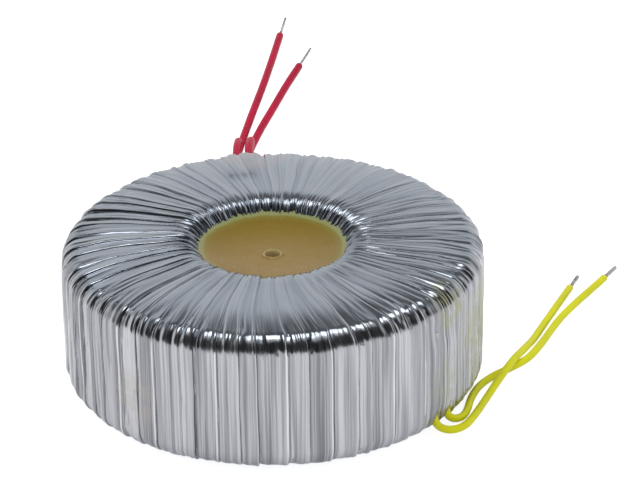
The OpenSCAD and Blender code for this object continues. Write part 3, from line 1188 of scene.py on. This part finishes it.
    def tree(self, lines: bpy.types.Object) -> bpy.types.NodeTree:
        """Builds the tree that folds the skin.

        Args:
            lines: The leads under the film, which it swells over.

        Returns:
            The tree, with its sizes as named inputs.
        """
        tree = bpy.data.node_groups.new("film_folds", "GeometryNodeTree")
        sheet = Sheet(tree)
        face = tree.interface
        face.new_socket("Geometry", in_out="INPUT", socket_type="NodeSocketGeometry")
        face.new_socket("Geometry", in_out="OUTPUT", socket_type="NodeSocketGeometry")
        for name in FoldInput:
            face.new_socket(name.value, in_out="INPUT", socket_type="NodeSocketFloat")
        source = sheet.node("NodeGroupInput")
        size = {name: Value(tree, source.outputs[name.value]) for name in FoldInput}

        def named(name: str) -> Value:
            """A value that the skin carries."""
            node = sheet.node("GeometryNodeInputNamedAttribute", data_type="FLOAT")
            node.inputs["Name"].default_value = name
            return Value(tree, node.outputs["Attribute"])

        strip, share = named("strip"), named("share")
        lay, fold, crease = named("lay"), named("fold"), named("crease")
        run = named("run")
        count = size[FoldInput.STRIPS]

        def edge(number: Value) -> Value:
            """Where a strip's edge lies, in strips, for the strip's number."""
            turn = number % count
            wander = (turn * 137.5).sin() * 0.6 + (turn * 47.0 + 30.0).sin() * 0.4
            return number + wander * size[FoldInput.UNEVENNESS]

        first, second = edge(strip), edge(strip + 1.0)
        flat = (first + (second - first) * share) * 360.0 / count
        ring = sheet.joined(flat.cos(), flat.sin(), run * 14.0)
        loose = 1.0 - lay.ramp(0.90, 1.0) * 0.75
        gentle = (sheet.noise(ring, 5.0, 1.0) - 0.5) * loose
        angle = (
            flat
            + lay * size[FoldInput.LAY]
            + (lay * 180.0).sin() * (flat.sin() * size[FoldInput.BOW])
            + gentle * size[FoldInput.SWAY] * 2.0
        )
        level = (strip * 99.0 + 10.0).sin() * 0.2 + 0.8
        off = (share - 0.885) / 0.065
        ridge = (off * off * -1.0).exp() * ((strip * 61.0 + 20.0).sin() * 0.4 + 0.6)
        tuck = (1.0 - (share / 0.5).least(1.0)) ** 1.4 * 0.55 + 0.45 - ridge * 0.45
        step = share.ramp(0.945, 1.0)
        folds = (tuck * (1.0 - step) + step) * level * fold * size[FoldInput.FOLD]

        def valleys(spread: float, long: float, width: float, lift: float) -> Value:
            """Narrow valleys that run along the strips.

            Args:
                spread: How closely they lie round the ring.
                long: How soon they end along the strip, for each metre.
                width: Their width, as a share of the noise.
                lift: Where the noise is cut, so that two sets differ.

            Returns:
                Their depth, from 0 to 1.
            """
            where = sheet.joined(flat.cos() * spread, flat.sin() * spread, run * long + lift)
            off = (sheet.noise(where, 1.0, 0.0) - 0.5).abs()
            return (1.0 - (off / width).least(1.0)) ** 1.6

        creases = (
            valleys(19.0, 40.0, 0.16, 3.0) * 0.75
            + valleys(37.0, 60.0, 0.20, 11.0) * 0.40
        ) * crease * size[FoldInput.CREASE]
        broad = sheet.noise(
            sheet.joined(flat.cos() * 7.0, flat.sin() * 7.0, run * 25.0), 1.0, 1.0
        ) * size[FoldInput.SAG]
        radius, height, out, up = named("radius"), named("height"), named("out"), named("up")
        smooth = sheet.joined(radius * angle.cos(), radius * angle.sin(), height)
        info = sheet.node("GeometryNodeObjectInfo", transform_space="ORIGINAL")
        info.inputs["Object"].default_value = lines
        near = sheet.node("GeometryNodeProximity", target_element="EDGES")
        sheet.put(near.inputs[0], info.outputs["Geometry"])
        for socket in near.inputs:
            if socket.name in ("Sample Position", "Source Position"):
                sheet.put(socket, smooth)
        reach = self.lead_reach * MM
        away = (Value(tree, near.outputs["Distance"]) - reach).most(0.0) / reach
        rise = (away * away * -1.0).exp() * size[FoldInput.SWELLING]
        shift = rise - folds - creases - broad
        r = radius + out * shift
        moved = sheet.joined(r * angle.cos(), r * angle.sin(), height + up * shift)
        place = sheet.node("GeometryNodeSetPosition")
        sheet.put(place.inputs["Geometry"], source.outputs["Geometry"])
        sheet.put(place.inputs["Selection"], (named("skin")).socket)
        sheet.put(place.inputs["Position"], moved)
        reach_round = self.section.wall * MM
        flow = sheet.joined(flat.cos() * reach_round, flat.sin() * reach_round, run)
        self.end_tree(sheet, place.outputs["Geometry"], flow)
        return tree

    @staticmethod
    def end_tree(
        sheet: Sheet, geometry: bpy.types.NodeSocket, flow: bpy.types.NodeSocket
    ) -> None:
        """Stores the pattern's place, and makes the result smooth, real and silver.

        Args:
            sheet: The tree.
            geometry: The folded skin.
            flow: The place in the pattern that follows the folds.
        """
        store = sheet.node(
            "GeometryNodeStoreNamedAttribute", data_type="FLOAT_VECTOR", domain="POINT"
        )
        store.inputs["Name"].default_value = "flow"
        sheet.put(store.inputs["Geometry"], geometry)
        sheet.put(store.inputs["Value"], flow)
        smoothed = sheet.node("GeometryNodeSetShadeSmooth")
        sheet.put(smoothed.inputs["Geometry"], store.outputs["Geometry"])
        real = sheet.node("GeometryNodeRealizeInstances")
        sheet.put(real.inputs["Geometry"], smoothed.outputs["Geometry"])
        dressed = sheet.node("GeometryNodeSetMaterial")
        dressed.inputs["Material"].default_value = FILM.build()
        sheet.put(dressed.inputs["Geometry"], real.outputs["Geometry"])
        result = sheet.node("NodeGroupOutput")
        sheet.put(result.inputs["Geometry"], dressed.outputs["Geometry"])

    def build(self) -> bpy.types.Object:
        """Makes the folded film.

        Returns:
            The film as a plain mesh.
        """
        piece = self.base()
        lines = self.lead_lines()
        tree = self.tree(lines)
        folds = piece.modifiers.new("folds", "NODES")
        folds.node_group = tree
        sizes = {
            FoldInput.STRIPS: float(self.strips),
            FoldInput.UNEVENNESS: self.unevenness,
            FoldInput.LAY: self.lay_angle,
            FoldInput.BOW: self.bow,
            FoldInput.FOLD: self.fold_depth * MM,
            FoldInput.CREASE: self.crease_depth * MM,
            FoldInput.SAG: self.sag * MM,
            FoldInput.SWAY: self.sway,
            FoldInput.SWELLING: self.swelling * MM,
        }
        for item in tree.interface.items_tree:
            for name, value in sizes.items():
                if item.item_type == "SOCKET" and item.name == name.value:
                    folds[item.identifier] = value
        graph = bpy.context.evaluated_depsgraph_get()
        mesh = bpy.data.meshes.new_from_object(
            piece.evaluated_get(graph), preserve_all_data_layers=True, depsgraph=graph
        )
        piece.modifiers.clear()
        piece.data = mesh
        mesh.name = piece.name
        for name in DRIVING:
            mesh.attributes.remove(mesh.attributes[name])
        bpy.data.objects.remove(lines)
        keep(piece, FILM, "outer_wrap")
        return piece


# ---------------------------------------------------------------- resin


@dataclass
class ResinPlug:
    """The cast resin in the bore: dished on top, flat below, with a hole for the screw."""

    film: Section = SKIN
    middle: float = MIDDLE
    drop: float = 3.5
    dish: float = 3.5
    hole: float = 4.4
    lip: float = 5.6
    lip_height: float = 0.4
    foot_gap: float = 0.6
    into_film: float = 0.9
    segments: int = 160

    def profile(self) -> np.ndarray:
        """Outline of the plug, from the hole's foot round to the hole's top.

        Returns:
            The points, as radius and height above the middle.
        """
        centre = self.film.bore_centre()
        reach = self.film.round_bore - self.into_film
        radius = self.film.round_bore
        top = 180 - math.degrees(math.asin((radius - self.drop) / radius))
        foot = 180 - math.degrees(math.asin((radius - self.foot_gap) / radius))
        points = [(self.hole / 2 + 0.3, -self.middle), (self.hole / 2 + 1.5, -self.middle)]
        rim = centre[0] + reach * math.cos(math.radians(foot))
        points += [(rim * k / 5, -self.middle) for k in (2, 3, 4, 5)]
        for angle in np.linspace(foot, 180, 7):
            a = math.radians(angle)
            points.append((centre[0] + reach * math.cos(a), -centre[1] - reach * math.sin(a)))
        for angle in np.linspace(180, top, 9):
            a = math.radians(angle)
            points.append((centre[0] + reach * math.cos(a), centre[1] + reach * math.sin(a)))
        edge = (points[-1][0], self.film.top_bore - self.drop + 0.1)
        points.append(edge)
        floor = self.film.top_bore - self.drop - self.dish
        inner = self.lip / 2 + 0.9
        for k in range(14, -1, -1):
            r = inner + (edge[0] - inner) * k / 15
            rise = ((r - inner) / (edge[0] - inner)) ** 2
            points.append((r, floor + (edge[1] - floor) * rise))
        mid = (self.hole + self.lip) / 4
        lip = (
            (self.lip / 2 + 0.45, 0.05), (self.lip / 2 + 0.12, 0.22), (self.lip / 2 - 0.1, 0.38),
            (mid, 0.44), (self.hole / 2 + 0.12, 0.34), (self.hole / 2, 0.12), (self.hole / 2, -0.6),
        )
        points += [(r, floor + h * self.lip_height / 0.4) for r, h in lip]
        points += [(self.hole / 2, z) for z in np.linspace(floor - 4, -self.middle + 0.3, 6)]
        return np.array(points)

    def build(self) -> bpy.types.Object:
        """Turns the outline round the axis.

        Returns:
            The plug.
        """
        profile = self.profile()
        angle = np.linspace(0, 2 * np.pi, self.segments, endpoint=False)
        r, z = profile[:, 0][:, None], profile[:, 1][:, None] + self.middle
        wobble = 0.12 * np.sin(angle * 3 + 0.5) + 0.08 * np.sin(angle * 7 + 2)
        near_hole = np.exp(-((r - self.lip / 2) / 0.8) ** 2) * (z > self.middle)
        height = z + near_hole * wobble * 0.6
        points = np.stack([r * np.cos(angle), r * np.sin(angle), height + 0 * angle], axis=-1)
        faces = [face[::-1] for face in grid_faces(len(profile), self.segments, True)]
        piece = mesh_object("resin_plug", points.reshape(-1, 3) * MM, faces, RESIN)
        keep(piece, RESIN, "potting")
        return piece


# ---------------------------------------------------------------- inner pieces


class InnerPieces:
    """The solids under the film, which keep their own meshes and get their finishes."""

    finishes: dict[str, Finish] = {
        "core": STEEL,
        "core_edge_ring_top": BOARD,
        "core_edge_ring_bottom": BOARD,
        "core_wrap": TAPE,
        "primary_winding": COPPER,
        "winding_wrap": TAPE,
        "secondary_winding": COPPER,
        **{f"{colour}_joint_sleeve_{k}": SLEEVE for colour in ("red", "yellow") for k in (1, 2)},
    }

    def dress(self) -> None:
        """Gives each solid its finish."""
        for name, finish in self.finishes.items():
            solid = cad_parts[name]
            solid.data.materials.clear()
            solid.data.materials.append(finish.build())
            LOG.info("%s: dressed in %s", name, finish.name)


# ---------------------------------------------------------------- studio


@dataclass
class Studio:
    """Camera, floor, world and lamp, in metres, degrees and, for the lens, millimetres."""

    target: float = 0.02198
    distance: float = 0.8527
    elevation: float = 28.33
    roll: float = 1.22
    pan: float = -0.88630
    tilt: float = -1.19506
    lens: float = 168.75
    film_width: float = 36.0
    floor_half: float = 6.0
    floor_level: float = -1e-4
    lamp_place: Point = (0.0, 0.02, 1.2)
    lamp_size: tuple[float, float] = (0.62, 0.50)
    lamp_glow: float = 3.2

    def camera(self) -> None:
        """Makes the camera and makes it the scene's."""
        e = math.radians(self.elevation)
        back = np.array([0.0, -math.cos(e), math.sin(e)])
        forward, right = -back, np.array([1.0, 0.0, 0.0])
        rows = np.array([right, np.cross(right, forward), forward])
        c, s = math.cos(math.radians(self.roll)), math.sin(math.radians(self.roll))
        roll = np.array([[c, -s, 0], [s, c, 0], [0, 0, 1]])
        pan, tilt = math.radians(self.pan), math.radians(self.tilt)
        nod = np.array([
            [1, 0, 0], [0, math.cos(tilt), math.sin(tilt)], [0, -math.sin(tilt), math.cos(tilt)]
        ])
        swing = np.array([
            [math.cos(pan), 0, math.sin(pan)], [0, 1, 0], [-math.sin(pan), 0, math.cos(pan)]
        ])
        view = swing @ nod @ roll @ rows
        axes = np.column_stack([view[0], view[1], -view[2]])
        lens = bpy.data.cameras.new("camera")
        lens.lens, lens.sensor_width = self.lens, self.film_width
        lens.clip_start, lens.clip_end = 0.01, 50.0
        camera = bpy.data.objects.new("camera", lens)
        bpy.context.scene.collection.objects.link(camera)
        place = Matrix([list(row) for row in axes]).to_4x4()
        place.translation = back * self.distance + np.array([0, 0, self.target])
        camera.matrix_world = place
        bpy.context.scene.camera = camera

    def floor(self) -> None:
        """Makes a pale floor that stays white to the camera and keeps the shadow."""
        material = bpy.data.materials.new("floor_paper")
        material.use_nodes = True
        sheet = Sheet(material.node_tree)
        material.node_tree.nodes.clear()
        paint = sheet.node("ShaderNodeBsdfDiffuse")
        grain = sheet.noise(sheet.node("ShaderNodeTexCoord").outputs["Object"], 400, 2)
        sheet.put(paint.inputs["Color"], sheet.mixed(grain, (0.86, 0.86, 0.86), (0.88, 0.88, 0.88)))
        glow = sheet.node("ShaderNodeEmission")
        path = sheet.node("ShaderNodeLightPath")
        seen = Value(sheet.tree, path.outputs["Is Camera Ray"])
        shine = Value(sheet.tree, path.outputs["Is Glossy Ray"])
        clear = Value(sheet.tree, path.outputs["Is Transmission Ray"])
        sheet.put(glow.inputs["Strength"], (seen + clear) * 0.80 + shine * 0.30)
        both = sheet.node("ShaderNodeAddShader")
        sheet.put(both.inputs[0], paint.outputs[0])
        sheet.put(both.inputs[1], glow.outputs[0])
        sheet.put(sheet.node("ShaderNodeOutputMaterial").inputs[0], both.outputs[0])
        mesh = bpy.data.meshes.new("floor")
        h, low = self.floor_half, self.floor_level
        corners = [(-h, -h, low), (h, -h, low), (h, h, low), (-h, h, low)]
        mesh.from_pydata(corners, [], [(0, 1, 2, 3)])
        mesh.materials.append(material)
        floor = bpy.data.objects.new("floor", mesh)
        bpy.context.scene.collection.objects.link(floor)

    def world(self) -> None:
        """Makes the surroundings: white to the camera, a light tent with a dark front to gloss."""
        world = bpy.data.worlds.new("light_tent")
        world.use_nodes = True
        sheet = Sheet(world.node_tree)
        world.node_tree.nodes.clear()
        x, y, z = sheet.parts(sheet.node("ShaderNodeTexCoord").outputs["Generated"])
        level = (x * x + y * y) ** 0.5
        ahead = (y / level.most(1e-4)) * -1.0
        height = z.math("ARCTAN2", z, level) * (180 / math.pi)
        front = ahead.ramp(-0.25, 0.45)
        dark = front * height.ramp(-1.0, 4.0) * height.ramp(74.0, 60.0)
        behind = height.ramp(30.0, 52.0) * (1.0 - front)
        tent = 1.0 - dark * 0.96 - behind * 0.80
        path = sheet.node("ShaderNodeLightPath")
        shine = Value(sheet.tree, path.outputs["Is Glossy Ray"])
        seen = Value(sheet.tree, path.outputs["Is Camera Ray"])
        clear = Value(sheet.tree, path.outputs["Is Transmission Ray"])
        white = (seen + clear).least(1.0)
        rest = 1.0 - (white + shine).least(1.0)
        light = sheet.node("ShaderNodeBackground")
        sheet.put(light.inputs["Strength"], white + shine * tent + rest * 0.72)
        sheet.put(sheet.node("ShaderNodeOutputWorld").inputs[0], light.outputs[0])
        bpy.context.scene.world = world

    def lamp(self, name: str, place: Point, size: tuple[float, float], glow: float) -> None:
        """Adds a soft rectangular lamp that faces the object.

        Args:
            name: The lamp's name.
            place: Its middle, in metres.
            size: Its width and depth, in metres.
            glow: The brightness of its face, where 1 is white.
        """
        data = bpy.data.lights.new(name, "AREA")
        data.shape = "RECTANGLE"
        data.size, data.size_y = size
        data.energy = glow * math.pi * size[0] * size[1]
        lamp = bpy.data.objects.new(name, data)
        bpy.context.scene.collection.objects.link(lamp)
        away = np.array(place) / np.linalg.norm(place)
        side = np.cross([0.0, 1.0, 0.0], away)
        side /= np.linalg.norm(side)
        turned = Matrix([list(row) for row in np.column_stack([side, np.cross(away, side), away])])
        turned = turned.to_4x4()
        turned.translation = place
        lamp.matrix_world = turned

    def build(self) -> None:
        """Sets the colour management and makes the floor, the world and the lamp."""
        bpy.context.scene.view_settings.view_transform = "Standard"
        self.floor()
        self.world()
        self.lamp("overhead_softbox", self.lamp_place, self.lamp_size, self.lamp_glow)


def main() -> None:
    """Builds the transformer and its studio."""
    logging.basicConfig(level=logging.INFO, format="%(message)s")
    studio = Studio()
    studio.camera()
    for lead in LEADS:
        lead.build()
    FilmWrap().build()
    ResinPlug().build()
    InnerPieces().dress()
    studio.build()


if __name__ == "__main__":
    main()
